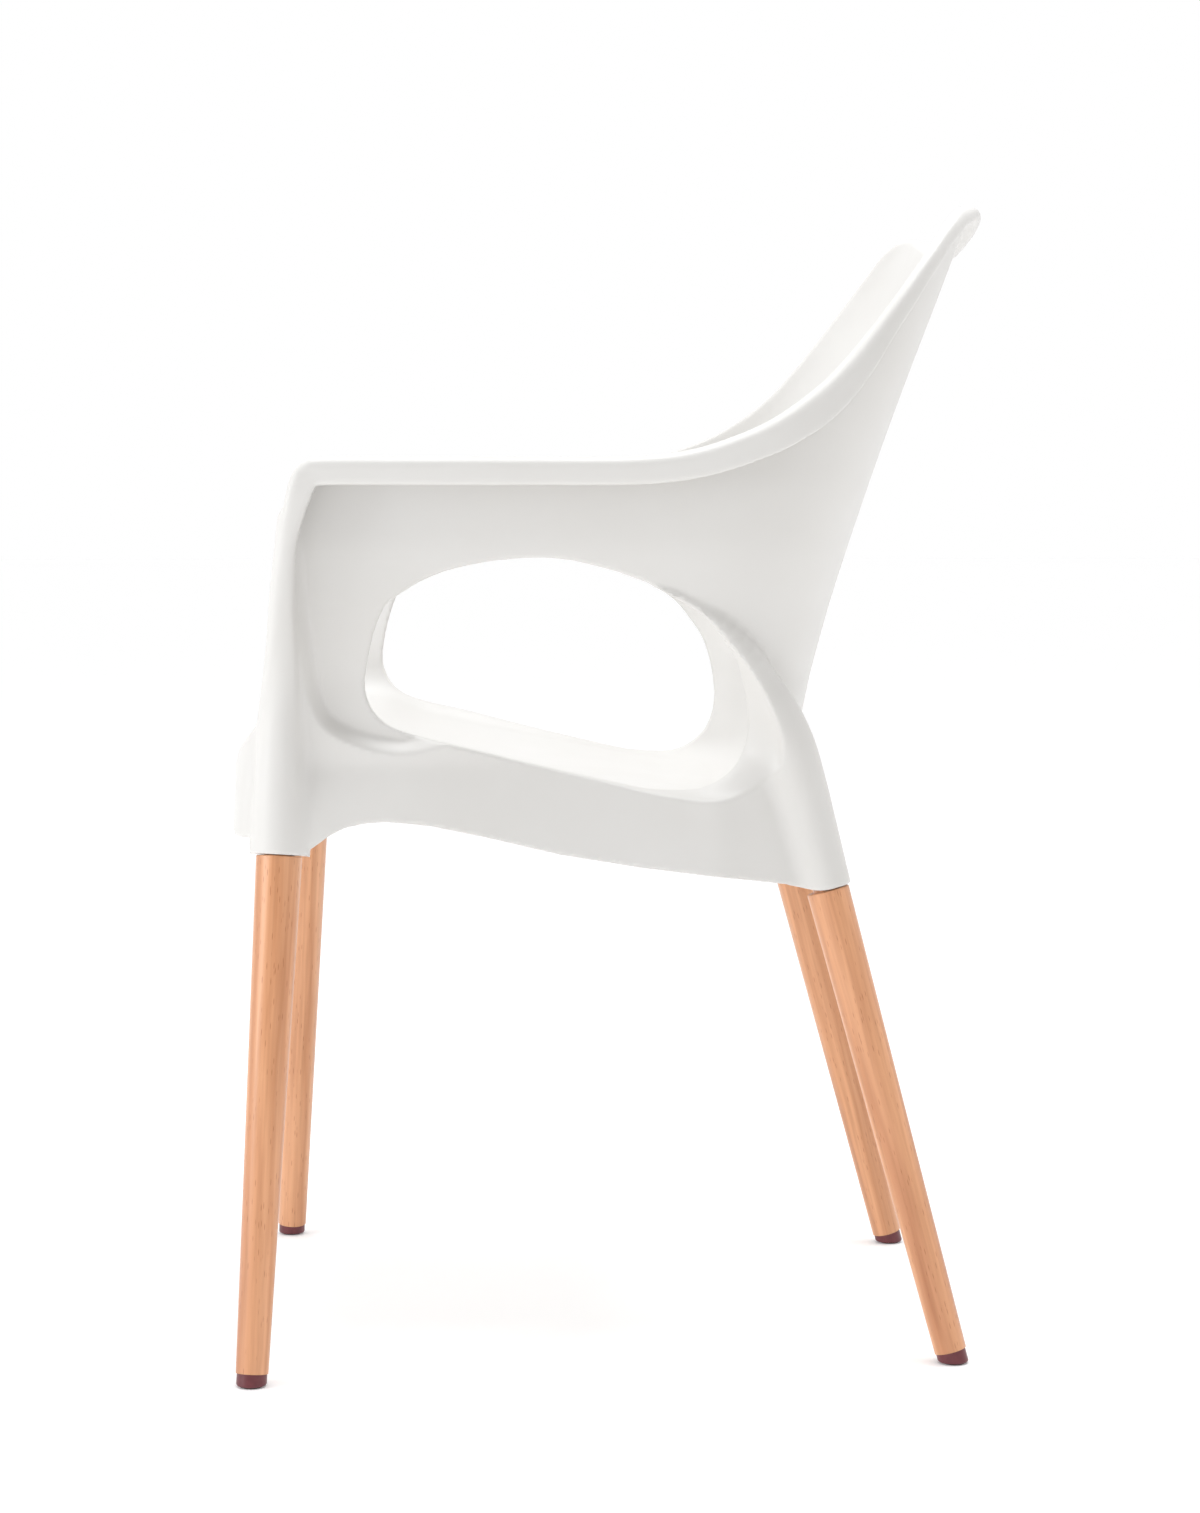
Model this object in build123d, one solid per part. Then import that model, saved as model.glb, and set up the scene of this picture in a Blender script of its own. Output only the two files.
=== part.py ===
from build123d import *
import math
import os

# Armchair with a one-piece moulded plastic shell on four turned beech legs.
# Millimetres, +Z up, the sitter faces -Y, +X is the chair's left side.
# The origin is on the floor under the middle of the whole chair.

# overall sizes
overall_height = 860.0
arm_height = 674.5
wall = 5.5             # thickness of the moulded walls
seat_thickness = 6.0
rim_thickness = 6.0    # top plate of the rolled rim
lip_thickness = 4.5    # down-turned outer edge of the rim
lip_height = 19.0
bead = 0.8             # how far the rim stands proud of the wall inside, and of its own lip

# plan of the shell: a superellipse round the sitter's back, straight sides, a bowed front
back_depth = 168.0     # from the middle of the back to where the sides run straight
front_corner_y = -251.0
front_corner_r = 24.0
front_bow = 9.0

# the back leans: y of its outer face at the middle, for a height z
back_foot_y = 155.8
back_foot_z = 479.5
back_lean = 0.24
back_curl = 0.00021

# by height: half width of the outer face, squareness of the plan, reach of the rim
heights = [335, 400, 450, 512, 566, 610, 655, 700, 745, 790, 820, 845, 870, 895]
half_widths = [219, 213, 206.5, 218, 236, 249, 256, 260, 262, 262, 260, 249, 226, 205]
plan_powers = [7, 6.5, 4.6, 3.5, 3.4, 3.6, 3.9, 4.2, 4.6, 5, 5, 5, 5, 5]
rim_reaches = [4, 4, 8, 19, 23, 27, 34, 30, 24, 17, 12.5, 11, 11, 11]
rim_start = 452.0      # the rim runs up the front column from this height
lip_start = 495.0
seat_clear = 425.0     # the rear columns keep out of the seat space above this height

# legs: centre of the shoulder under the socket, centre of the foot, both for the left side
front_shoulder = Vector(212, -240.5, 384)
front_foot = Vector(262, -260, 9.5)
rear_shoulder = Vector(190, 166, 355)
rear_foot = Vector(210, 258, 9.5)
front_leg_top_d = 34.0
rear_leg_top_d = 32.0
leg_foot_d = 24.0
tenon_d = 22.0
tenon_length = 56.0
tenon_clearance = 0.2
shoulder_gap = 0.8     # shadow gap between the leg's shoulder and the socket
socket_overhang = 1.6  # how far the socket's mouth stands proud of the leg
socket_height = 74.0

# leg fixing: a cross bolt from under the seat into an insert in the tenon
bolt_height = 26.0
bolt_d = 6.0
bolt_hole_d = 6.6
bolt_head_d = 11.0
bolt_head_height = 4.5
bolt_hex = 4.0
boss_d = 18.0
boss_reach = 22.0
washer_d = 14.0
washer_thickness = 1.5
insert_d = 9.0
insert_length = 12.0
insert_sink = 1.0      # the insert stops this far inside the tenon

# floor glides
glide_d = 22.4
glide_proud = 1.0      # the pad stands this far below the glide
pad_d = 16.0
pad_thickness = 3.6
screw_d = 3.5
screw_length = 20.0
screw_head_d = 7.0
screw_head_height = 1.8
glide_floor_thickness = 2.5


def back_y(z):
    rise = z - back_foot_z
    return back_foot_y + back_lean * rise + back_curl * rise * rise


def plan_section(z, half_width, power, out):
    """Closed plan outline at height z, grown outwards by out."""
    a = half_width + out
    depth = back_depth + out
    start_y = back_y(z) + out - depth
    fractions = [0.35, 0.62, 0.8, 0.9, 0.955, 0.985, 0.998]
    right = [(a * f, start_y + depth * (1 - f**power) ** (1 / power)) for f in fractions]
    points = [(a, start_y)] + right[::-1] + [(0, start_y + depth)]
    points += [(-x, y) for x, y in right] + [(-a, start_y)]
    lift = [Vector(x, y, z) for x, y in points]
    radius = front_corner_r + out
    start, middle, end = [
        (a - radius + radius * math.cos(turn), front_corner_y - radius * math.sin(turn))
        for turn in (0, math.pi / 4, math.pi / 2)
    ]
    front = Vector(0, end[1] - front_bow, z)
    left = [Vector(x, y, z) for x, y in (start, middle, end)]
    right = [Vector(-x, y, z) for x, y in (start, middle, end)]
    edges = [
        Spline(*lift, tangents=[(0, 1, 0), (0, -1, 0)]),
        Line(lift[-1], right[0]),
        ThreePointArc(*right),
        ThreePointArc(right[-1], front, left[-1]),
        ThreePointArc(*left[::-1]),
        Line(left[0], lift[0]),
    ]
    return Face(Wire(edges))


def plan_loft(outs):
    """Solid whose plan at each height is the shell's outline grown by that height's out."""
    levels = zip(heights, half_widths, plan_powers, outs)
    return Solid.make_loft([plan_section(*level).outer_wire() for level in levels])


def closed_face(curves):
    """Flat face inside a closed run of curves."""
    edges = [edge for curve in curves for edge in curve.edges()]
    return Face(Wire(edges))


def across(face, reach=330):
    """Side-view face (drawn in Y and Z) made a slab right across the chair."""
    return extrude(face, amount=reach, dir=(1, 0, 0), both=True)


def yz(*points):
    return [Vector(0, y, z) for y, z in points]


# side view of the rim: up the front column, round the arm's end, along the arm, up to the back
rim_line = [(-256, 340), (-256, 420), (-255, 470), (-252, 495), (-248, 515), (-244, 540),
            (-241, 570), (-238, 595), (-233, 633), (-229.5, 652), (-224.5, 664), (-217, 671.5),
            (-205, 674.3), (-150, arm_height), (-60, arm_height), (0, arm_height), (35, 676),
            (63, 680.5), (90, 689), (115, 700), (139, 715.5), (160, 733), (180, 755), (200, 780),
            (218, 804), (234, 826), (246, 843.5), (258, 862), (272, 884), (300, 930)]

# front view of the back's top edge, right half: it dips between two raised corners
top_line = [(0, 840), (55, 842.3), (110, 849.5), (155, 857.6), (188, overall_height),
            (216, 855), (237, 843.5), (253, 827), (268, 800)]


def inset_line(points, inset):
    """The points moved sideways by inset, to the right of the line's direction."""
    moved = []
    for i, (u, v) in enumerate(points):
        before = points[max(i - 1, 0)]
        after = points[min(i + 1, len(points) - 1)]
        du, dv = after[0] - before[0], after[1] - before[1]
        size = math.hypot(du, dv)
        moved.append((u + inset * dv / size, v - inset * du / size))
    clear = 0.97 * inset
    return [p for p in moved if all(math.dist(p, q) >= clear for q in points)]


def rim_body(inset):
    """Everything under the rim line, the line moved inwards by inset."""
    side_line = yz(*inset_line(rim_line, inset))
    low = side_line[0].Y
    side = closed_face([
        Spline(*side_line),
        Polyline(side_line[-1], *yz((340, 940), (340, 290), (low, 290)), side_line[0]),
    ])
    half = inset_line(top_line[::-1], -inset)[:-1]
    crest = [Vector(-x, 0, z) for x, z in half] + [Vector(0, 0, top_line[0][1] - inset)]
    crest += [Vector(x, 0, z) for x, z in half[::-1]]
    top = closed_face([
        Spline(*crest),
        Polyline(crest[-1], (330, 0, 720), (330, 0, 280), (-330, 0, 280), (-330, 0, 720), crest[0]),
    ])
    return across(side) & extrude(top, amount=350, dir=(0, 1, 0), both=True)


def lower_edge_slab():
    """Space below the shell's arched lower edge."""
    arch = yz((-252, 396), (-222, 396), (-200, 402), (-162, 409), (-130, 406), (-93, 398),
              (-34, 384), (25, 374), (69, 368.5), (129, 360.5), (155, 355.5), (200, 355))
    edges = [
        Polyline(*yz((-320, 396), (-252, 396))),
        Spline(*arch),
        Polyline(*yz((200, 355), (320, 355), (320, 280), (-320, 280), (-320, 396))),
    ]
    return across(closed_face(edges))


def arm_opening():
    """The rounded hole through each side, between the armrest and the seat."""
    outline = yz((-179, 512), (-173, 545), (-153, 576), (-115, 594), (-66, 602), (-20, 599),
                 (30, 582), (72, 556), (95, 523), (101, 485), (98, 457), (84, 436), (61, 430),
                 (0, 438), (-66, 453), (-130, 468.5), (-160, 478.5), (-175, 492))
    return across(closed_face([Spline(*outline, periodic=True)]))


def seat_sheet():
    """Seat: high rounded front edge, falling to the back and turned up into it."""
    top = yz((-284, 446), (-276, 453.5), (-255, 452.5), (-180, 441), (-90, 427), (0, 417),
             (80, 412), (125, 417), (160, 440))
    under = [Vector(0, p.Y + (seat_thickness if p.Y > 100 else 0), p.Z - seat_thickness) for p in top]
    edges = [Spline(*top), Line(top[-1], under[-1]), Spline(*under[::-1]), Line(under[0], top[0])]
    return across(closed_face(edges))


def leg_plane(shoulder, foot):
    """Leg frame: Z up the leg from its shoulder, X towards the middle of the chair."""
    up = (shoulder - foot).normalized()
    inwards = Vector(-1, 0, 0)
    inwards = (inwards - up * inwards.dot(up)).normalized()
    return Plane(origin=shoulder, x_dir=inwards, z_dir=up)


def leg_length(shoulder, foot):
    return (shoulder - foot).length


def cylinder_up(radius, low, high):
    return Pos(0, 0, (low + high) / 2) * Cylinder(radius, high - low)


def cylinder_in(radius, low, high):
    """Cylinder along the leg frame's X at the bolt's height."""
    return Pos((low + high) / 2, 0, bolt_height) * Rot(0, 90, 0) * Cylinder(radius, high - low)


def socket(plane, top_d):
    """Tapered socket with a flat boss for the bolt, in the leg frame's place."""
    mouth = top_d / 2 + socket_overhang
    cone = Pos(0, 0, socket_height / 2) * Cone(mouth, mouth + 2.5, socket_height)
    boss = cylinder_in(boss_d / 2, 0, boss_reach)
    return plane * (cone + boss)


def socket_bore(plane):
    bore = cylinder_up(tenon_d / 2 + tenon_clearance, -1, tenon_length + 2)
    hole = cylinder_in(bolt_hole_d / 2, 0, boss_reach + 5)
    spot_face = cylinder_in(washer_d / 2 + 1, boss_reach, boss_reach + 30)
    return plane * (bore + hole + spot_face)


def above(z):
    return Pos(0, 0, z + 300) * Box(700, 700, 600)


def report(stage, shape):
    print(stage, "volume", round(shape.volume), "solids", len(shape.solids()), "valid", shape.is_valid)


def rear_column():
    """Buttress that rises from the rear socket, leans forward and fades into the arm."""
    spine = [(189, 171, 338, 18), (193.5, 147, 420, 21.5), (199, 121, 482, 22.5),
             (210, 103, 530, 19), (223, 82, 566, 14), (235, 50, 588, 9)]
    rings = []
    for i, (x, y, z, radius) in enumerate(spine):
        low = Vector(*spine[max(i - 1, 0)][:3])
        high = Vector(*spine[min(i + 1, len(spine) - 1)][:3])
        ring_plane = Plane(origin=(x, y, z), x_dir=(1, 0, 0), z_dir=(high - low).normalized())
        rings.append(Wire(ring_plane * Circle(radius).edge()))
    above_leg = leg_plane(rear_shoulder, rear_foot) * Pos(0, 0, 200) * Box(300, 400, 400)
    return Solid.make_loft(rings) & above_leg


def rear_web():
    """Curved plate that carries the side wall on to the rear column."""
    outer_line = [(214.5, 40, 330), (213, 75, 330), (208, 115, 330), (199, 160, 330)]
    inner_line = [(x - wall, y, z) for x, y, z in outer_line[::-1]]
    plan = closed_face([
        Spline(*outer_line), Line(outer_line[-1], inner_line[0]),
        Spline(*inner_line), Line(inner_line[-1], outer_line[0]),
    ])
    side_view = yz((40, 320), (40, 432), (95, 432), (128, 440), (148, 400), (152, 320), (40, 320))
    return extrude(plan, amount=130, dir=(0, 0, 1)) & across(closed_face([Polyline(*side_view)]))


def mirrored(shape):
    return mirror(shape, about=Plane.YZ)


def seat_shell():
    outer = plan_loft([0] * len(heights))
    inner = plan_loft([-wall] * len(heights))
    rim_outer = plan_loft(rim_reaches)
    rim_inner = plan_loft([-wall - bead] * len(heights))
    lip_outer = plan_loft([reach - bead for reach in rim_reaches])
    lip_inner = plan_loft([reach - bead - lip_thickness for reach in rim_reaches])

    front_band = Pos(0, -280, 372.5) * Box(660, 80, 165)
    covered = rim_body(0)
    shell = (outer - inner) & (rim_body(bead) + front_band)
    report("walls", shell)
    rim_zone = (covered - rim_body(rim_thickness)) & above(rim_start)
    lip_zone = (rim_body(bead + 2) - rim_body(lip_height)) & above(lip_start)
    rim = (rim_outer - rim_inner) & rim_zone
    lip = (lip_outer - lip_inner) & lip_zone
    report("rim", rim)
    report("lip", lip)
    shell = shell + rim
    report("with rim", shell)
    shell = shell + lip
    report("with lip", shell)
    shell = shell + (seat_sheet() & outer)
    report("with seat", shell)
    for piece in (rear_web(), rear_column()):
        piece = piece - (inner & above(seat_clear))
        shell = shell + piece + mirrored(piece)
    report("with columns", shell)
    shell = shell - arm_opening()
    shell = shell - lower_edge_slab()
    report("cut", shell)

    front_plane = leg_plane(front_shoulder, front_foot)
    rear_plane = leg_plane(rear_shoulder, rear_foot)
    for piece in (socket(front_plane, front_leg_top_d), socket(rear_plane, rear_leg_top_d)):
        shell = shell + piece + mirrored(piece)
    report("with sockets", shell)
    for plane in (front_plane, rear_plane):
        bore = socket_bore(plane)
        shell = shell - bore - mirrored(bore)
    report("whole shell", shell)
    return shell


def leg(length, top_d):
    """Tapered round leg with a turned tenon, drilled for the insert and the glide's screw."""
    foot = Pos(0, 0, -length) * Circle(leg_foot_d / 2)
    top = Pos(0, 0, -shoulder_gap) * Circle(top_d / 2)
    body = loft([foot.face(), top.face()])
    body = chamfer(body.edges().sort_by(Axis.Z)[-1], 0.8)
    tenon = cylinder_up(tenon_d / 2, -shoulder_gap, tenon_length)
    tenon = chamfer(tenon.edges().sort_by(Axis.Z)[-1], 1.5)
    insert_hole = cylinder_in(insert_d / 2, tenon_d / 2 - insert_length, tenon_d)
    tip_hole = cylinder_in(bolt_hole_d / 2, -tenon_d / 2 + 4, tenon_d)
    screw_hole = cylinder_up(screw_d / 2, -length, -length + screw_length)
    return body + tenon - insert_hole - tip_hole - screw_hole


def insert():
    outside = cylinder_in(insert_d / 2, tenon_d / 2 - insert_length, tenon_d / 2 - insert_sink)
    return outside - cylinder_in(bolt_d / 2, -tenon_d, tenon_d)


def washer():
    ring = cylinder_in(washer_d / 2, boss_reach, boss_reach + washer_thickness)
    return ring - cylinder_in(bolt_hole_d / 2, 0, boss_reach + 10)


def bolt():
    seat = boss_reach + washer_thickness
    shank = cylinder_in(bolt_d / 2, tenon_d / 2 - insert_length, seat)
    head = cylinder_in(bolt_head_d / 2, seat, seat + bolt_head_height)
    head = fillet(head.edges().sort_by(Axis.X)[-1], 1.2)
    hex_plane = Plane(origin=(seat + bolt_head_height, 0, bolt_height), z_dir=(-1, 0, 0))
    hex_socket = extrude(hex_plane * RegularPolygon(bolt_hex / 2, 6, major_radius=False), amount=2.5)
    return shank + head - hex_socket


def glide_screw(length):
    """Pan-head screw that runs up the leg's axis; its head lies in the glide's recess."""
    seat = -length - glide_floor_thickness
    shank = cylinder_up(screw_d / 2, seat, -length + screw_length)
    shank = chamfer(shank.edges().sort_by(Axis.Z)[-1], 1.2)
    head = cylinder_up(screw_head_d / 2, seat - screw_head_height, seat)
    return shank + fillet(head.edges().sort_by(Axis.Z)[0], 0.8)


def foot_pieces(plane, length):
    """Glide under the leg's end, cut level above the floor, and the pad let into it."""
    foot = (plane * Pos(0, 0, -length)).position
    body = plane * cylinder_up(glide_d / 2, -length - 30, -length)
    above_floor = Pos(foot.X, foot.Y, 50 + glide_proud) * Box(90, 90, 100)
    body = body & above_floor
    body = fillet(body.edges().sort_by(Axis.Z)[0], 1.6)
    sole = foot - plane.z_dir * (foot.Z / plane.z_dir.Z)
    pad = Pos(sole.X, sole.Y, pad_thickness / 2) * Cylinder(pad_d / 2, pad_thickness)
    recess = plane * cylinder_up(screw_head_d / 2 + 0.4, -length - 12, -length - glide_floor_thickness)
    hole = plane * cylinder_up(screw_d / 2, -length - 12, -length + 1)
    body = body - recess - hole - pad
    return body, pad


def corner_pieces(shoulder, foot, top_d):
    """Every piece of one leg, for the chair's +X side, by the end of its node name."""
    plane = leg_plane(shoulder, foot)
    length = leg_length(shoulder, foot)
    glide, pad = foot_pieces(plane, length)
    return {
        "leg": plane * leg(length, top_d),
        "glide": glide,
        "glide_pad": pad,
        "glide_screw": plane * glide_screw(length),
        "leg_bolt": plane * bolt(),
        "leg_washer": plane * washer(),
        "leg_insert": plane * insert(),
    }


os.makedirs("parts", exist_ok=True)
export_step(seat_shell(), "parts/seat_shell.step")
corners = {
    "front": corner_pieces(front_shoulder, front_foot, front_leg_top_d),
    "rear": corner_pieces(rear_shoulder, rear_foot, rear_leg_top_d),
}
for end, pieces in corners.items():
    for name, piece in pieces.items():
        export_step(piece, f"parts/{end}_left_{name}.step")
        export_step(mirrored(piece), f"parts/{end}_right_{name}.step")
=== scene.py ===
import bpy
import math
import numpy as np
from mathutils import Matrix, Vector


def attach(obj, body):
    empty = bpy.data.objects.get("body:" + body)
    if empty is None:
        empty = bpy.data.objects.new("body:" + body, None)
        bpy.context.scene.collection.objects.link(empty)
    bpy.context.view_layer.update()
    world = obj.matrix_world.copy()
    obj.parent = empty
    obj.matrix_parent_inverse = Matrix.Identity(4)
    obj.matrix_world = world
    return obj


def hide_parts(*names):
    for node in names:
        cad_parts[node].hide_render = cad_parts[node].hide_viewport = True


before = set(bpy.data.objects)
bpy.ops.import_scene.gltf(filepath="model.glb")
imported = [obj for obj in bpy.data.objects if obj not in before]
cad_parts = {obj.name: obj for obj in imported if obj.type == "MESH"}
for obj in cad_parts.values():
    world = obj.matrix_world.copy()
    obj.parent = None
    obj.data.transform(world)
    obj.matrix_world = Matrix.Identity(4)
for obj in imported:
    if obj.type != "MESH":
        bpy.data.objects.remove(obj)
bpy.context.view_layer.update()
print("frame loaded,", len(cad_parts), "nodes")

# The shell is one skin worked out as a field of distances: negative inside the plastic.
# Lengths are millimetres here and in the outlines below; the finished mesh is in metres.
shell = {
    "cell": 2.5,                # size of the grid that the skin is drawn on
    "quickCell": 4.5,
    "mostTriangles": 190000,
    "room": (306, (-294, 296), (344, 872)),      # the grid's reach in x, y and z
    "wall": 5.5,
    "seatThick": 5.5,
    "seatDish": (206, 1.04, 3.6),                # half width, where it ends, how late it rises
    "backDepth": 168.0,         # from the middle of the back to where the sides run straight
    "backLine": (155.8, 479.5, 0.24, 0.00021),   # y and z at its foot, lean, curl
    "frontCorner": 24.0,        # radius where the sides turn into the front
    "frontLine": (-275.0, 9.5, 0.05),            # y at the corners, bow in the middle, tilt
    "frontBow": (190, 396),     # half width of the bow, height that the tilt starts from
    "straightFrom": -150,       # the round back's formula gives way to the front's before this y
    "rimPlate": 5.5,            # rolled rim: thickness on top, of the turned-down lip, its corner
    "rimLip": 4.6,
    "rimRound": 8.0,
    "lipLean": 0.12,            # the lip leans in towards its lower edge
    "rimBead": (8, 765, 825),   # the rim thickens by this at the back's corners, between heights
    "bulge": 11.0,              # how far the frame of each side stands out past its recessed panel
    "bulgeEnds": {"panel": (-1, 12), "back": (-150, 40), "up": (575, 655), "side": (150, 195),
                  "front": (-262, -240)},
    "levels": (300, 335, 400, 450, 512, 566, 610, 655, 700, 745, 790, 820, 845, 870, 920),
    "halfWidths": (221, 219, 213, 206.5, 218, 236, 249, 256, 260, 262, 262, 260, 249, 226, 200),
    "squareness": (7, 7, 6.5, 4.6, 3.5, 3.4, 3.6, 3.9, 4.2, 4.6, 5, 5, 5, 5, 5),
    "rimReach": (4, 4, 4, 8, 18.5, 23, 27, 33, 30, 24, 17, 12.5, 11, 10.5, 10.5),
    "lipDrop": (27, 27, 27, 26, 18, 12.5, 11, 20, 19, 16, 12.5, 11.5, 11, 11, 11),
}

# side view (y, z) of the rim: up the front column, round the arm's end, along it and up the back
rimLine = [(-256, 300), (-256, 360), (-256, 420), (-255, 470), (-252, 495), (-248, 515),
           (-244, 540), (-241, 570), (-238, 595), (-233, 633), (-229.5, 652), (-225, 664),
           (-217.5, 671.5), (-206, 674.3), (-150, 674.5), (-60, 674.5), (0, 674.5), (35, 676),
           (63, 680.5), (90, 689), (115, 700), (139, 715.5), (160, 733), (180, 755), (200, 780),
           (218, 804), (234, 826), (246, 843.5), (258, 862), (272, 884), (300, 930)]
# front view (x, z) of the back's top edge, from the middle out
topLine = [(0, 840), (55, 842.3), (110, 849.5), (155, 857.6), (188, 860), (216, 855),
           (237, 843.5), (253, 827), (268, 800), (282, 755), (300, 700), (330, 640)]
# side view of the hole under the arm, where the seat's edge meets the inside of the wall
holeInside = [(-150.4, 576.3), (-128.6, 588.7), (-99.6, 597.5), (-63.5, 602.2), (-34.7, 601.8),
              (-5.8, 596), (23.2, 586.6), (37.8, 579.3), (55, 570), (74.3, 556.5), (87.5, 540),
              (96.8, 524.8), (101.9, 505.5), (103.5, 488), (103.3, 470), (101, 457), (96, 447),
              (86, 438), (75, 432.5), (63, 430.5), (29.5, 433), (-4.5, 439.9), (-63.4, 452.8),
              (-98.3, 461.7), (-141.6, 472.3), (-162.4, 481), (-173.3, 494.5), (-176.7, 512),
              (-171.3, 542.4), (-162.3, 565.9)]
# the same hole where it comes out on the ridge of the rear column
holeOutside = holeInside[:8] + [(59, 569), (72, 559), (83, 547), (95, 533), (105, 520), (114, 506),
              (121, 491), (127, 475), (130, 460), (128, 446), (118, 434), (100, 426), (75, 422.5),
              (40, 427), (0, 437)] + holeInside[22:]
# edge of the sunk panel on each side, the panel lying behind and above it
panelLine = [(-222, 660), (-220, 618), (-218, 593), (-216, 561), (-213, 535), (-210, 511),
             (-206, 496), (-200, 486), (-190, 479), (-177, 474), (-162, 470), (-146, 469),
             (-128, 473), (-100, 480), (-50, 472), (0, 458), (60, 448), (200, 440)]
# lower edge (y, z), seat height along the middle, and seat height along its sides
lowerEdge = [(-320, 396.5), (-252, 396.5), (-234, 390), (-220, 387), (-212, 392.5), (-203, 399),
             (-192, 404.6), (-177, 407.8), (-162, 408.9), (-130, 405.7), (-93, 398), (-34, 383.7),
             (25, 373.6), (69, 368), (129, 360.5), (155, 355), (200, 355), (300, 355)]
seatMiddle = [(-320, 454.5), (-276, 454.5), (-250, 453.5), (-200, 448), (-100, 434), (0, 422),
              (80, 415), (110, 414), (300, 414)]
seatSides = [(-320, 470), (-275, 471), (-250, 481), (-220, 487), (-175, 484), (-144, 470),
             (-101, 460), (-66, 452), (-7, 439), (27, 432), (61, 429), (98, 436), (140, 440),
             (300, 440)]
# columns (x, y, z, radius) as they swell out of the corners and fade into the arms
rearColumn = [(190, 166, 355, 17.8), (191, 151, 410, 19.5), (192.5, 143, 436, 20.8),
              (194.5, 134, 462, 21.7), (198, 121, 487, 22), (202.5, 109, 506, 20.3),
              (211, 96, 530, 17.3), (222, 79, 553, 12.5), (229, 63, 564, 9),
              (236, 48, 573, 5.5), (240, 36, 578, 2.5)]
frontColumn = [(212, -240.5, 384, 18.6), (214, -240.5, 420, 18), (219, -239, 460, 15.5),
               (226, -237.5, 500, 13), (240, -236, 540, 10), (256, -234, 585, 7.5), (268, -230, 630, 6)]
# plate that carries the side wall on to the rear column: x of its outer face and height of its
# top by y, where it begins and ends, how deep its beginning is sunk, and the filled corner above
rearWeb = {
    "line": [(20, 210), (50, 211), (78, 212), (115, 207.5), (160, 198.5), (200, 192)],
    "top": [(0, 432), (95, 434), (128, 440), (163, 400), (220, 330)],
    "start": 38, "end": 152, "sunk": (7, 40, 90),
    "fillEnd": 148, "fillHeights": (402, 462),
}
sockets = {
    "front": {"shoulder": (212, -240.5, 384), "foot": (262, -260, 9.5)},
    "rear": {"shoulder": (190, 166, 355), "foot": (210, 258, 9.5)},
}
socketFit = {"core": 15.5, "coreHeight": 63, "bore": 11.3, "boreDepth": 58, "boltUp": 26,
             "boss": 9, "bossReach": 22, "spotFace": 8, "spotEnd": 52,
             "clearRadius": 30, "clearBelow": 40}
# the hole's two outlines change over between these distances from the middle, by height
holeChange = {
    "innerHeights": (430, 480, 506, 533, 559, 600), "inner": (190, 187, 195, 212, 230, 245),
    "outerHeights": (430, 458, 491, 506, 533, 559, 600),
    "outer": (213, 215.5, 221, 224, 230, 238, 250),
}
# the lower edge's cut leaves the front sockets longer
frontSocketSpared = {"y": -240, "halfLength": 22, "from": 185, "lower": 20}
# widths over which neighbouring surfaces run into one another
softness = {
    "rimToTop": 12, "rimToSeat": 9, "outerEdge": 3, "apronEdge": 11, "underSeat": 6, "lip": 4,
    "bandToWall": 4, "plateEnd": 3, "plateToWall": 8, "frontColumn": 9, "rearColumn": 10,
    "rearColumnTop": 6, "coreTop": 8, "coreToColumn": 4, "bossEnd": 1.5, "bossToColumn": 3,
    "socketMouth": 1.6, "seatToWall": 14, "seatToBack": 30, "insideEdge": 3, "holeEdge": 2.5,
    "lowerEdge": 2,
}


def smoothTable(points, low, high, spread):
    # values along a line at 0.2 mm steps, run through a bell-shaped average so that it has no kinks
    perMm, margin = 5, 40
    at = np.arange((low - 60) * perMm, (high + 60) * perMm + 1) / perMm
    u, v = np.array(points, float).T
    bell = np.hanning((2 * spread + 2) * perMm + 1)
    value = np.convolve(np.interp(at, u, v), bell / bell.sum(), mode="same")
    return at[margin * perMm:-margin * perMm], value[margin * perMm:-margin * perMm]


def through(points, closed, steps=6):
    # Catmull-Rom curve: p(t) is the cubic through b and c with slopes (c - a)/2 and (d - b)/2
    p = np.array(points, float)
    ring = np.vstack([p[-1:], p, p[:2]]) if closed else np.vstack([p[:1], p, p[-1:]])
    a, b, c, d = ring[:-3], ring[1:-2], ring[2:-1], ring[3:]
    t = np.linspace(0, 1, steps, endpoint=False)[None, :, None]
    a, b, c, d = (q[:, None, :] for q in (a, b, c, d))
    curve = 0.5 * (2 * b + (c - a) * t + (2 * a - 5 * b + 4 * c - d) * t**2
                   + (3 * b - a - 3 * c + d) * t**3)
    curve = curve.reshape(-1, p.shape[1])
    return curve if closed else np.vstack([curve, p[-1:]])


def outlineMap(outline, box, step=2.0):
    # signed distance from every point of a flat grid to a closed outline, negative inside
    u0, u1, v0, v1 = box
    u = np.arange(u0, u1 + step, step)
    v = np.arange(v0, v1 + step, step)
    gridU, gridV = np.meshgrid(u, v, indexing="ij")
    best = np.full(gridU.shape, 1e9)
    inside = np.zeros(gridU.shape, bool)
    for (pu, pv), (qu, qv) in zip(outline, np.roll(outline, -1, axis=0)):
        du, dv = qu - pu, qv - pv
        t = ((gridU - pu) * du + (gridV - pv) * dv) / (du * du + dv * dv + 1e-12)
        t = np.clip(t, 0, 1)
        best = np.minimum(best, (gridU - pu - t * du) ** 2 + (gridV - pv - t * dv) ** 2)
        if dv != 0:
            crosses = (pv > gridV) != (qv > gridV)
            inside ^= crosses & (gridU < pu + du * (gridV - pv) / dv)
    distance = np.sqrt(best)
    return np.where(inside, -distance, distance), u0, v0, step


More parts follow.
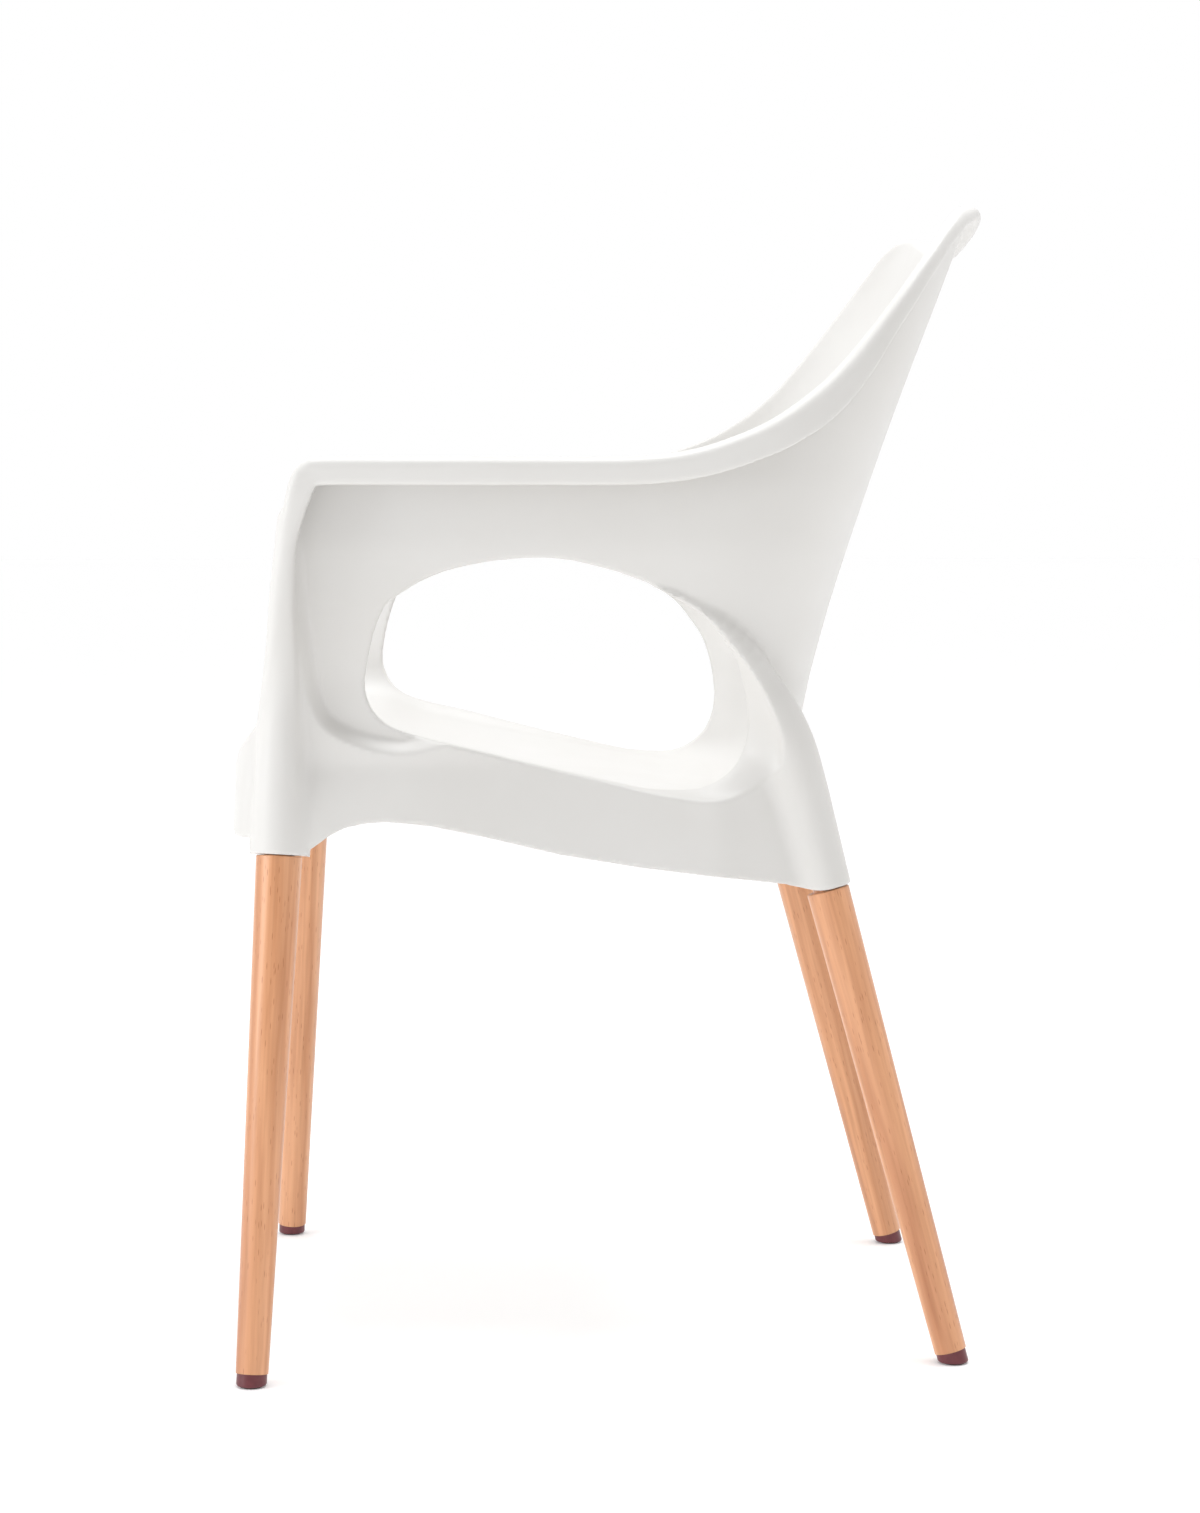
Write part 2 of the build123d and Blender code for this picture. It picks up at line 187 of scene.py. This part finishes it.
def readMap(flatMap, u, v):
    # value between the grid points by straight mixing in both directions
    value, u0, v0, step = flatMap
    fu = np.clip((u - u0) / step, 0, value.shape[0] - 1.001)
    fv = np.clip((v - v0) / step, 0, value.shape[1] - 1.001)
    iu, iv = fu.astype(int), fv.astype(int)
    fu, fv = fu - iu, fv - iv
    return ((value[iu, iv] * (1 - fu) + value[iu + 1, iv] * fu) * (1 - fv)
            + (value[iu, iv + 1] * (1 - fu) + value[iu + 1, iv + 1] * fu) * fv)


def joined(a, b, k):
    # smooth smaller of two fields: a hollow corner rounded over a width k
    h = np.maximum(k - np.abs(a - b), 0) / k
    return np.minimum(a, b) - h * h * k / 4


def trimmed(a, b, k):
    # smooth larger of two fields: a standing corner rounded over a width k
    return -joined(-a, -b, k)


def eased(v, low, high):
    # 0 below low, 1 above high, 3t2 - 2t3 between
    t = np.clip((v - low) / (high - low), 0, 1)
    return t * t * (3 - 2 * t)


levels = shell["levels"]
byHeight = {name: smoothTable(list(zip(levels, shell[name])), 280, 920, 14)
            for name in ("halfWidths", "squareness", "rimReach", "lipDrop")}
topTable = smoothTable([(-x, z) for x, z in topLine[:0:-1]] + topLine, -320, 320, 9)
lowerTable = smoothTable(lowerEdge, -310, 300, 5)
middleTable = smoothTable(seatMiddle, -310, 300, 18)
sidesTable = smoothTable(seatSides, -310, 300, 12)
rimCurve = through(rimLine[1:], False)
rimMap = outlineMap(np.vstack([[(-256, 100)], rimCurve, [(500, 1000), (500, 100)]]),
                    (-310, 310, 320, 900))
holeInMap = outlineMap(through(holeInside, True), (-240, 190, 390, 650))
holeOutMap = outlineMap(through(holeOutside, True), (-240, 190, 390, 650))
webTable = smoothTable(rearWeb["line"], 20, 200, 10)
webTopTable = smoothTable(rearWeb["top"], 0, 220, 8)
panelMap = outlineMap(np.vstack([through(panelLine, False), [(200, 720), (-222, 720)]]),
                      (-310, 210, 330, 740))
print("shell outlines ready")


def planDistance(x, y, z):
    # plan at each height: superellipse (x/a)^n + (y/b)^n = 1 at the back, round-cornered front;
    # the back part is divided by its slope, so that the value is close to a distance
    a = np.interp(z, *byHeight["halfWidths"])
    n = np.interp(z, *byHeight["squareness"])
    da = np.interp(z + 1, *byHeight["halfWidths"]) - a
    footY, footZ, lean, curl = shell["backLine"]
    depth = shell["backDepth"]
    bowHalf, tiltFrom = shell["frontBow"]
    rise = z - footZ
    start = footY + lean * rise + curl * rise * rise - depth
    dStart = lean + 2 * curl * rise
    u = x / a
    v = np.maximum(y - start, 0) / depth
    un, vn = u**n, v**n
    s = (un + vn + 1e-9) ** (1 / n)
    scale = s / (un + vn + 1e-9)
    gx = scale * un / np.maximum(u, 1e-3) / a
    gy = scale * vn / np.maximum(v, 1e-3) / depth
    gz = -gx * u * da - gy * dStart
    back = (s - 1) / np.sqrt(gx * gx + gy * gy + gz * gz + 1e-9)
    r = shell["frontCorner"]
    edgeY, bow, tilt = shell["frontLine"]
    front = edgeY - bow * np.clip(1 - (x / bowHalf) ** 2, 0, 1) + tilt * (z - tiltFrom)
    qx, qy = x - (a - r), front + r - y
    corner = np.minimum(np.maximum(qx, qy), 0) + np.hypot(np.maximum(qx, 0), np.maximum(qy, 0)) - r
    corner = corner / np.sqrt(1 + da * da * (qx > qy))
    return np.where(y > shell["straightFrom"], back, corner)


def columnDistance(spine, x, y, z):
    # distance to a chain of short tapering round bars laid along the spine's curve
    spine = through(spine, False, 3)
    result = None
    for (ax, ay, az, ar), (bx, by, bz, br) in zip(spine[:-1], spine[1:]):
        dx, dy, dz = bx - ax, by - ay, bz - az
        t = ((x - ax) * dx + (y - ay) * dy + (z - az) * dz) / (dx * dx + dy * dy + dz * dz)
        t = np.clip(t, 0, 1)
        d = np.sqrt((x - ax - t * dx) ** 2 + (y - ay - t * dy) ** 2 + (z - az - t * dz) ** 2)
        d = d - ar - t * (br - ar)
        result = d if result is None else np.minimum(result, d)
    return result


def legAxes(place):
    # unit vectors of one leg: up the leg, and square to it towards the middle of the chair
    shoulder, foot = np.array(place["shoulder"], float), np.array(place["foot"], float)
    up = (shoulder - foot) / np.linalg.norm(shoulder - foot)
    inwards = np.array([-1.0, 0, 0])
    inwards -= up * inwards.dot(up)
    return shoulder, up, inwards / np.linalg.norm(inwards)


def shellField(x, y, z):
    # the whole shell: distance to its surface, negative in the plastic
    x = np.abs(x)
    wall, soft = shell["wall"], softness
    plan = planDistance(x, y, z)
    topHere = np.interp(x, *topTable)
    rimTop = (z - topHere) / np.sqrt(1 + (np.interp(x + 1, *topTable) - topHere) ** 2)
    rim = trimmed(readMap(rimMap, y, z), rimTop, soft["rimToTop"])
    seatLow = np.interp(y, *middleTable)
    seatHigh = np.interp(y, *sidesTable)
    halfSeat, dishEnd, dishPower = shell["seatDish"]
    seat = z - (seatLow + (seatHigh - seatLow) * np.minimum(x / halfSeat, dishEnd) ** dishPower)
    ends = shell["bulgeEnds"]
    bulge = shell["bulge"] * eased(readMap(panelMap, y, z), *ends["panel"])
    bulge = bulge * (1 - eased(y, *ends["back"])) * (1 - eased(z, *ends["up"]))
    outside = plan - bulge * eased(x, *ends["side"]) * eased(y, *ends["front"])

    # walls and apron, hollow below the seat
    top = joined(rim, seat, soft["rimToSeat"])
    atFront = eased(rim, -3, 14)
    body = trimmed(outside, top, soft["outerEdge"] + soft["apronEdge"] * atFront)
    below = trimmed(plan + wall, seat + shell["seatThick"], soft["underSeat"])
    body = np.maximum(body, -below)

    # rolled rim: a plate outwards and a lip turned down from it
    reach = np.interp(z, *byHeight["rimReach"])
    drop = np.interp(z, *byHeight["lipDrop"])
    reach = reach + shell["lipLean"] * rim
    plate = trimmed(plan - reach, rim, shell["rimRound"])
    thicker, low, high = shell["rimBead"]
    rimUnder = rim + shell["rimPlate"] + thicker * eased(z, low, high)
    under = trimmed(plan - (reach - shell["rimLip"]), rimUnder, soft["lip"])
    band = trimmed(np.maximum(plate, -(plan + wall)), -(rim + drop), soft["lip"])
    band = np.maximum(band, -under)
    body = joined(body, band, soft["bandToWall"])

    # plate between the side wall and the rear column
    sunk, sinkStart, sinkEnd = rearWeb["sunk"]
    webOut = x - np.interp(y, *webTable) + sunk * (1 - eased(y, sinkStart, sinkEnd))
    web = np.maximum(np.abs(webOut + wall / 2) - wall / 2, z - np.interp(y, *webTopTable))
    beyond = np.maximum(rearWeb["start"] - y, y - rearWeb["end"])
    web = trimmed(web, beyond, soft["plateEnd"])
    beyond = np.maximum(y - rearWeb["fillEnd"], rearWeb["start"] - y)
    corner = np.maximum(np.maximum(webOut, -plan), beyond)
    low, high = rearWeb["fillHeights"]
    corner = np.maximum(corner, np.maximum(z - high, low - z))
    body = joined(body, np.minimum(web, corner), soft["plateToWall"])

    # columns and sockets, cut square to their legs
    rearWidth = soft["rearColumn"] - soft["rearColumnTop"] * eased(z, 430, 490)
    for spine, end, width in ((frontColumn, "front", soft["frontColumn"]),
                              (rearColumn, "rear", rearWidth)):
        shoulder, up, inwards = legAxes(sockets[end])
        px, py, pz = x - shoulder[0], y - shoulder[1], z - shoulder[2]
        along = px * up[0] + py * up[1] + pz * up[2]
        aside = px * inwards[0] + py * inwards[1] + pz * inwards[2]
        off = np.sqrt(np.maximum(px * px + py * py + pz * pz - along * along, 0))
        core = trimmed(off - socketFit["core"], along - socketFit["coreHeight"], soft["coreTop"])
        post = joined(columnDistance(spine, x, y, z), core, soft["coreToColumn"])
        reachIn = np.hypot(along - socketFit["boltUp"],
                           np.sqrt(np.maximum(off * off - aside * aside, 0))) - socketFit["boss"]
        bossEnd = aside - socketFit["bossReach"]
        boss = trimmed(np.maximum(reachIn, -aside), bossEnd, soft["bossEnd"])
        post = joined(post, boss, soft["bossToColumn"])
        post = trimmed(post, -along, soft["socketMouth"])
        body = joined(body, post, width)
        bore = np.maximum(off - socketFit["bore"], along - socketFit["boreDepth"])
        spot = reachIn + socketFit["boss"] - socketFit["spotFace"]
        spot = np.maximum(np.maximum(spot, -bossEnd), aside - socketFit["spotEnd"])
        body = np.maximum(body, -np.minimum(bore, spot))
        nearLeg = (off < socketFit["clearRadius"]) & (along < 0)
        nearLeg = nearLeg & (along > -socketFit["clearBelow"])
        body = np.where(nearLeg, np.maximum(body, -along), body)

    # the space that the sitter takes, the holes under the arms, the arched lower edge
    fillet = soft["seatToWall"] + soft["seatToBack"] * eased(y, 20, 110)
    sitting = trimmed(plan + wall, -seat, fillet)
    body = trimmed(body, -sitting, soft["insideEdge"])
    changeFrom = np.interp(z, holeChange["innerHeights"], holeChange["inner"])
    changeTo = np.interp(z, holeChange["outerHeights"], holeChange["outer"])
    mix = eased(x, changeFrom, changeTo)
    hole = readMap(holeInMap, y, z) * (1 - mix) + readMap(holeOutMap, y, z) * mix
    body = trimmed(body, -hole, soft["holeEdge"])
    edge = np.interp(y, *lowerTable) - z
    spared = frontSocketSpared
    atSocket = (np.abs(y - spared["y"]) < spared["halfLength"]) & (x > spared["from"])
    return trimmed(body, np.where(atSocket, edge - spared["lower"], edge), soft["lowerEdge"])


def slopeOf(x, y, z, step=0.25):
    # unit normal and steepness: the field's differences over a small step each way
    g = np.stack([shellField(x + step, y, z) - shellField(x - step, y, z),
                  shellField(x, y + step, z) - shellField(x, y - step, z),
                  shellField(x, y, z + step) - shellField(x, y, z - step)], axis=1) / (2 * step)
    size = np.maximum(np.linalg.norm(g, axis=1, keepdims=True), 1e-6)
    return g / size, size


def ontoSkin(corners, furthest):
    # each corner moved down the slope by value / steepness; the seam's corners stay on x = 0
    x, y, z = corners.T
    side = np.where(x < 0, -1.0, 1.0)
    normal, size = slopeOf(np.abs(x), y, z)
    move = normal * np.clip(shellField(x, y, z)[:, None] / size, -furthest, furthest)
    move[:, 0] *= side * (np.abs(x) > 1e-4)
    return corners - move


def skinOf(cell):
    # dual contouring: one corner per grid cell that the surface passes through, placed where the
    # surface's tangent planes in that cell meet; one four-sided face per crossed grid edge
    stiffness = 0.12          # pulls a corner to the middle of its crossings where planes agree
    furthest, settling = 0.8 * cell, 0.4 * cell
    roomX, roomY, roomZ = shell["room"]
    xs = (np.arange(math.ceil(roomX / cell) + 1) - 0.5) * cell
    ys = np.arange(*roomY, cell)
    zs = np.arange(*roomZ, cell)
    shape = (len(xs), len(ys), len(zs))
    field = shellField(xs[:, None, None], ys[None, :, None], zs[None, None, :])
    field = np.broadcast_to(field, shape).astype(np.float64)
    field = np.where(np.abs(field) < 1e-6, 1e-6, field)
    solid = field < 0
    strides = np.array([shape[1] * shape[2], shape[2], 1])
    cells, points, faces = [], [], []
    for axis in range(3):
        low = [slice(None)] * 3
        high = [slice(None)] * 3
        low[axis], high[axis] = slice(None, -1), slice(1, None)
        a, b = field[tuple(low)], field[tuple(high)]
        at = np.argwhere(solid[tuple(low)] != solid[tuple(high)])
        other = [k for k in range(3) if k != axis]
        keep = (at[:, other] > 0).all(axis=1)
        at = at[keep]
        fa, fb = a[tuple(at.T)], b[tuple(at.T)]
        place = np.stack([xs[at[:, 0]], ys[at[:, 1]], zs[at[:, 2]]], axis=1)
        place[:, axis] += cell * fa / (fa - fb)
        base = at @ strides
        s, t = strides[other[0]], strides[other[1]]
        ring = np.stack([base - s - t, base - t, base, base - s], axis=1)
        turned = (fa < 0) == (axis == 1)
        ring[turned] = ring[turned][:, ::-1]
        cells.append(ring.reshape(-1))
        points.append(np.repeat(place, 4, axis=0))
        faces.append(ring)
    crossing = [p[::4] for p in points]
    normal = np.repeat(slopeOf(*np.vstack(crossing).T)[0], 4, axis=0)
    cells, points, faces = np.concatenate(cells), np.vstack(points), np.vstack(faces)
    ids, index = np.unique(cells, return_inverse=True)
    count = np.bincount(index).astype(float)
    middle = np.stack([np.bincount(index, points[:, k]) for k in range(3)], axis=1) / count[:, None]
    reach = (normal * (points - middle[index])).sum(axis=1)
    square = np.empty((len(ids), 3, 3))
    right = np.empty((len(ids), 3))
    for i in range(3):
        right[:, i] = np.bincount(index, normal[:, i] * reach)
        for j in range(3):
            square[:, i, j] = np.bincount(index, normal[:, i] * normal[:, j])
    square += np.eye(3) * stiffness * (count / 4)[:, None, None]
    move = np.linalg.solve(square, right[:, :, None])[:, :, 0]
    corners = middle + np.clip(move, -furthest, furthest)
    seam = ids // strides[0] == 0
    corners[seam, 0] = 0
    for again in range(2):
        corners = ontoSkin(corners, settling)
    faces = np.searchsorted(ids, faces)
    # the other half is the same corners with x turned round, sharing the ones on the seam
    mirrored = np.where(seam, np.arange(len(ids)), len(ids) + np.cumsum(~seam) - 1)
    other = corners[~seam] * (-1, 1, 1)
    return np.vstack([corners, other]), np.vstack([faces, mirrored[faces][:, ::-1]])


def makeMesh(name, corners, faces):
    # whole arrays into a mesh: corners in metres, every face with four corners
    mesh = bpy.data.meshes.new(name)
    mesh.vertices.add(len(corners))
    mesh.vertices.foreach_set("co", corners.astype(np.float32).ravel())
    mesh.loops.add(faces.size)
    mesh.loops.foreach_set("vertex_index", faces.astype(np.int32).ravel())
    mesh.polygons.add(len(faces))
    mesh.polygons.foreach_set("loop_start", np.arange(0, faces.size, 4, dtype=np.int32))
    mesh.update(calc_edges=True)
    mesh.validate()
    piece = bpy.data.objects.new(name, mesh)
    bpy.context.scene.collection.objects.link(piece)
    return piece


def thinned(piece, limit):
    # fewer triangles where the skin is nearly flat
    triangles = sum(len(p.vertices) - 2 for p in piece.data.polygons)
    if triangles > limit:
        collapse = piece.modifiers.new("fewer", "DECIMATE")
        collapse.ratio = limit / triangles
        view = bpy.context.view_layer
        view.update()
        mesh = bpy.data.meshes.new_from_object(piece.evaluated_get(view.depsgraph))
        old = piece.data
        piece.modifiers.clear()
        piece.data = mesh
        mesh.name = piece.name
        bpy.data.meshes.remove(old)
    return triangles


def smoothShading(piece):
    # shading follows the field's own slope, except at corners sharper than about 40 degrees
    mesh = piece.data
    leastAgreement = 0.76     # cosine of that angle
    seamHalf = 0.4            # shading is straight across the middle this close to it
    places = np.empty(len(mesh.vertices) * 3)
    mesh.vertices.foreach_get("co", places)
    corners = ontoSkin(places.reshape(-1, 3) * 1000, 0.5)
    mesh.vertices.foreach_set("co", (corners * 0.001).astype(np.float32).ravel())
    mesh.update()
    x, y, z = corners.T
    side = np.where(x < 0, -1.0, 1.0)
    normal = slopeOf(np.maximum(np.abs(x), 0.3), y, z, 0.5)[0]
    normal[:, 0] *= side * (np.abs(x) > seamHalf)
    cornerOf = np.empty(len(mesh.loops), np.int32)
    mesh.loops.foreach_get("vertex_index", cornerOf)
    flat = np.empty(len(mesh.polygons) * 3)
    mesh.polygons.foreach_get("normal", flat)
    sizes = np.empty(len(mesh.polygons), np.int32)
    mesh.polygons.foreach_get("loop_total", sizes)
    faceNormal = np.repeat(flat.reshape(-1, 3), sizes, axis=0)
    corner = normal[cornerOf]
    agrees = (corner * faceNormal).sum(axis=1) > leastAgreement
    corner = np.where(agrees[:, None], corner, faceNormal)
    mesh.polygons.foreach_set("use_smooth", np.ones(len(mesh.polygons), bool))
    mesh.normals_split_custom_set(corner.tolist())


corners, faces = skinOf(shell["cell"])
shellPiece = makeMesh("moulded_shell", corners * 0.001, faces)
triangles = thinned(shellPiece, shell["mostTriangles"])
smoothShading(shellPiece)
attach(shellPiece, "root")
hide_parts("seat_shell")
print("shell skin:", triangles, "triangles before thinning,", len(shellPiece.data.polygons), "after")


def newFinish(name, colour, roughness, metallic=0.0):
    finish = bpy.data.materials.new(name)
    finish.use_nodes = True
    nodes, links = finish.node_tree.nodes, finish.node_tree.links
    shader = nodes["Principled BSDF"]
    shader.inputs["Base Color"].default_value = (*colour, 1)
    shader.inputs["Roughness"].default_value = roughness
    shader.inputs["Metallic"].default_value = metallic
    place = nodes.new("ShaderNodeTexCoord")
    return finish, nodes, links, shader, place.outputs["Object"]


def addNoise(nodes, links, where, scale, detail=3.0, rough=0.5):
    noise = nodes.new("ShaderNodeTexNoise")
    noise.inputs["Scale"].default_value = scale
    noise.inputs["Detail"].default_value = detail
    noise.inputs["Roughness"].default_value = rough
    links.new(where, noise.inputs["Vector"])
    return noise.outputs["Fac"]


def addRamp(nodes, links, value, stops):
    ramp = nodes.new("ShaderNodeValToRGB")
    ramp.color_ramp.elements[0].position = stops[0][0]
    ramp.color_ramp.elements[0].color = (*stops[0][1], 1)
    ramp.color_ramp.elements[1].position = stops[-1][0]
    ramp.color_ramp.elements[1].color = (*stops[-1][1], 1)
    for position, colour in stops[1:-1]:
        ramp.color_ramp.elements.new(position).color = (*colour, 1)
    links.new(value, ramp.inputs["Fac"])
    return ramp.outputs["Color"]


def addRange(nodes, links, value, low, high, fromLow=0.0, fromHigh=1.0):
    change = nodes.new("ShaderNodeMapRange")
    change.inputs["From Min"].default_value = fromLow
    change.inputs["From Max"].default_value = fromHigh
    change.inputs["To Min"].default_value = low
    change.inputs["To Max"].default_value = high
    links.new(value, change.inputs["Value"])
    return change.outputs["Result"]


def addBump(nodes, links, shader, height, strength, distance):
    bump = nodes.new("ShaderNodeBump")
    bump.inputs["Strength"].default_value = strength
    bump.inputs["Distance"].default_value = distance
    links.new(height, bump.inputs["Height"])
    links.new(bump.outputs["Normal"], shader.inputs["Normal"])


def whitePlastic():
    # satin moulded plastic: fine even grain, and a slow change of gloss over the surface
    darker, lighter = (0.66, 0.643, 0.617), (0.68, 0.665, 0.644)
    finish, nodes, links, shader, place = newFinish("satin white plastic", darker, 0.4)
    shader.inputs["IOR"].default_value = 1.5
    shader.inputs["Specular IOR Level"].default_value = 0.45
    tint = addNoise(nodes, links, place, 7.0, 2.0)
    links.new(addRamp(nodes, links, tint, [(0.3, darker), (0.7, lighter)]),
              shader.inputs["Base Color"])
    gloss = addNoise(nodes, links, place, 38.0, 4.0)
    links.new(addRange(nodes, links, gloss, 0.34, 0.46), shader.inputs["Roughness"])
    addBump(nodes, links, shader, addNoise(nodes, links, place, 1500.0, 2.0), 0.05, 0.0004)
    return finish


def beech(name, shoulder, foot):
    # steamed beech with the grain along the leg: z is stretched out in the leg's own directions
    finish, nodes, links, shader, place = newFinish(name, (0.6, 0.36, 0.19), 0.38)
    up = (Vector(shoulder) - Vector(foot)).normalized()
    turn = up.to_track_quat("Z", "Y").inverted().to_euler()
    mapping = nodes.new("ShaderNodeMapping")
    mapping.inputs["Rotation"].default_value = turn
    links.new(place, mapping.inputs["Vector"])
    stretched = []
    for scale in ((34, 34, 1.6), (190, 190, 7.0), (520, 520, 62)):
        stretch = nodes.new("ShaderNodeMapping")
        stretch.inputs["Scale"].default_value = scale
        stretch.inputs["Location"].default_value = (7.3 * shoulder[0], 5.1 * shoulder[1], 0)
        links.new(mapping.outputs["Vector"], stretch.inputs["Vector"])
        stretched.append(stretch.outputs["Vector"])
    rings = addNoise(nodes, links, stretched[0], 1.0, 3.0, 0.55)
    fibres = addNoise(nodes, links, stretched[1], 1.0, 4.0, 0.6)
    flecks = nodes.new("ShaderNodeTexVoronoi")
    flecks.inputs["Scale"].default_value = 1.0
    links.new(stretched[2], flecks.inputs["Vector"])
    base = addRamp(nodes, links, rings, [(0.30, (0.50, 0.205, 0.09)), (0.48, (0.75, 0.375, 0.195)),
                                         (0.56, (0.62, 0.28, 0.13)), (0.74, (0.90, 0.51, 0.295))])
    fine = addRamp(nodes, links, fibres, [(0.32, (0.80, 0.74, 0.68)), (0.6, (1.0, 1.0, 1.0))])
    dash = addRamp(nodes, links, flecks.outputs["Distance"],
                   [(0.10, (0.66, 0.50, 0.40)), (0.20, (1.0, 1.0, 1.0))])
    colour = base
    for layer, amount in ((fine, 0.8), (dash, 0.75)):
        mix = nodes.new("ShaderNodeMix")
        mix.data_type = "RGBA"
        mix.blend_type = "MULTIPLY"
        mix.inputs["Factor"].default_value = amount
        links.new(colour, mix.inputs["A"])
        links.new(layer, mix.inputs["B"])
        colour = mix.outputs["Result"]
    links.new(colour, shader.inputs["Base Color"])
    links.new(addRange(nodes, links, fibres, 0.30, 0.50), shader.inputs["Roughness"])
    shader.inputs["Coat Weight"].default_value = 0.25
    shader.inputs["Coat Roughness"].default_value = 0.22
    addBump(nodes, links, shader, fibres, 0.12, 0.0006)
    return finish


def plainFinish(name, colours, roughness, grain, metallic=0.0, bump=0.1):
    # one material in two close tones, with a fine grain in its surface
    finish, nodes, links, shader, place = newFinish(name, colours[0], roughness, metallic)
    tone = addNoise(nodes, links, place, grain / 6, 3.0)
    links.new(addRamp(nodes, links, tone, [(0.3, colours[0]), (0.7, colours[1])]),
              shader.inputs["Base Color"])
    links.new(addRange(nodes, links, addNoise(nodes, links, place, grain / 3, 3.0),
                       roughness - 0.06, roughness + 0.08), shader.inputs["Roughness"])
    addBump(nodes, links, shader, addNoise(nodes, links, place, grain, 3.0), bump, 0.0005)
    return finish


def assign(piece, finish):
    # the piece's only finish
    piece.data.materials.clear()
    piece.data.materials.append(finish)


assign(shellPiece, whitePlastic())
zincTones = ((0.55, 0.56, 0.57), (0.64, 0.65, 0.66))
washerTones = ((0.58, 0.58, 0.59), (0.66, 0.66, 0.67))
brassTones = ((0.60, 0.42, 0.17), (0.68, 0.49, 0.21))
burgundyTones = ((0.115, 0.020, 0.026), (0.15, 0.028, 0.034))
feltTones = ((0.030, 0.016, 0.012), (0.052, 0.03, 0.022))
smallFinishes = {
    "glide": plainFinish("burgundy glide plastic", burgundyTones, 0.36, 1200),
    "glide_pad": plainFinish("dark brown felt", feltTones, 0.9, 2600, bump=0.6),
    "glide_screw": plainFinish("zinc plated steel", zincTones, 0.3, 900, 1.0),
    "leg_bolt": plainFinish("zinc plated bolt", zincTones, 0.28, 900, 1.0),
    "leg_washer": plainFinish("zinc plated washer", washerTones, 0.34, 700, 1.0),
    "leg_insert": plainFinish("brass insert", brassTones, 0.33, 900, 1.0),
}
for end, place in sockets.items():
    for hand, turn in (("left", 1), ("right", -1)):
        shoulder = [v * 0.001 for v in place["shoulder"]]
        foot = [v * 0.001 for v in place["foot"]]
        shoulder[0] *= turn
        foot[0] *= turn
        wood = beech(f"beech {end} {hand} leg", shoulder, foot)
        assign(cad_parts[f"{end}_{hand}_leg"], wood)
        for ending, finish in smallFinishes.items():
            assign(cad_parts[f"{end}_{hand}_{ending}"], finish)
for name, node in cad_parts.items():
    if name != "seat_shell":
        node.data.polygons.foreach_set("use_smooth", np.ones(len(node.data.polygons), bool))
        node.data.set_sharp_from_angle(angle=math.radians(32))
print("finishes ready")

studio = {
    "floorSize": 60.0,
    "floorColour": (0.985, 0.985, 0.985),
    "floorGlow": 0.12,          # brings the far floor up to the white behind it
    "skyStrength": 1.0,         # white all round, less on the chair's left
    "skyLeast": 0.45,
    "lampColour": (0.95, 0.975, 1.0),
    "lamps": (
        # name, place, aimed at, size, power
        ("overhead", (0.2, 0.2, 3.2), (0, 0, 0.4), 2.2, 52),
        ("frontSide", (1.3, -2.9, 1.0), (0, 0, 0.55), 1.6, 32),
    ),
    "cameraPlace": (2.77, -0.0865, 0.6522),
    "cameraTurn": (85.615, 0, 88.165),
    "lens": 82.98,
}


def addFloor():
    # a wide flat square at z = 0
    half = studio["floorSize"] / 2
    corners = [(-half, -half, 0), (half, -half, 0), (half, half, 0), (-half, half, 0)]
    mesh = bpy.data.meshes.new("floor")
    mesh.from_pydata(corners, [], [(0, 1, 2, 3)])
    floor = bpy.data.objects.new("floor", mesh)
    bpy.context.scene.collection.objects.link(floor)
    finish, nodes, links, shader, place = newFinish("studio floor", studio["floorColour"], 0.8)
    shader.inputs["Emission Color"].default_value = (1, 1, 1, 1)
    shader.inputs["Emission Strength"].default_value = studio["floorGlow"]
    addBump(nodes, links, shader, addNoise(nodes, links, place, 60.0, 2.0), 0.02, 0.001)
    assign(floor, finish)


def addLamp(name, place, aim, size, power):
    # a round soft lamp turned to its aim, a little cooler than the sky
    lamp = bpy.data.lights.new(name, "AREA")
    lamp.shape = "DISK"
    lamp.size = size
    lamp.energy = power
    lamp.color = studio["lampColour"]
    holder = bpy.data.objects.new(name, lamp)
    holder.location = place
    holder.rotation_euler = (Vector(aim) - Vector(place)).to_track_quat("-Z", "Y").to_euler()
    bpy.context.scene.collection.objects.link(holder)


addFloor()
for lamp in studio["lamps"]:
    addLamp(*lamp)
sky = bpy.data.worlds.new("white studio")
bpy.context.scene.world = sky
sky.use_nodes = True
sky.node_tree.nodes["Background"].inputs["Color"].default_value = (1, 1, 1, 1)
direction = sky.node_tree.nodes.new("ShaderNodeTexCoord")
parts = sky.node_tree.nodes.new("ShaderNodeSeparateXYZ")
sky.node_tree.links.new(direction.outputs["Generated"], parts.inputs["Vector"])
skyLight = addRange(sky.node_tree.nodes, sky.node_tree.links, parts.outputs["X"],
                    studio["skyStrength"], studio["skyLeast"])
sky.node_tree.links.new(skyLight, sky.node_tree.nodes["Background"].inputs["Strength"])

lens = bpy.data.cameras.new("camera")
lens.lens = studio["lens"]
camera = bpy.data.objects.new("camera", lens)
camera.location = studio["cameraPlace"]
camera.rotation_euler = [math.radians(v) for v in studio["cameraTurn"]]
bpy.context.scene.collection.objects.link(camera)
bpy.context.scene.camera = camera
bpy.context.scene.view_settings.view_transform = "Standard"
print("studio and camera ready")
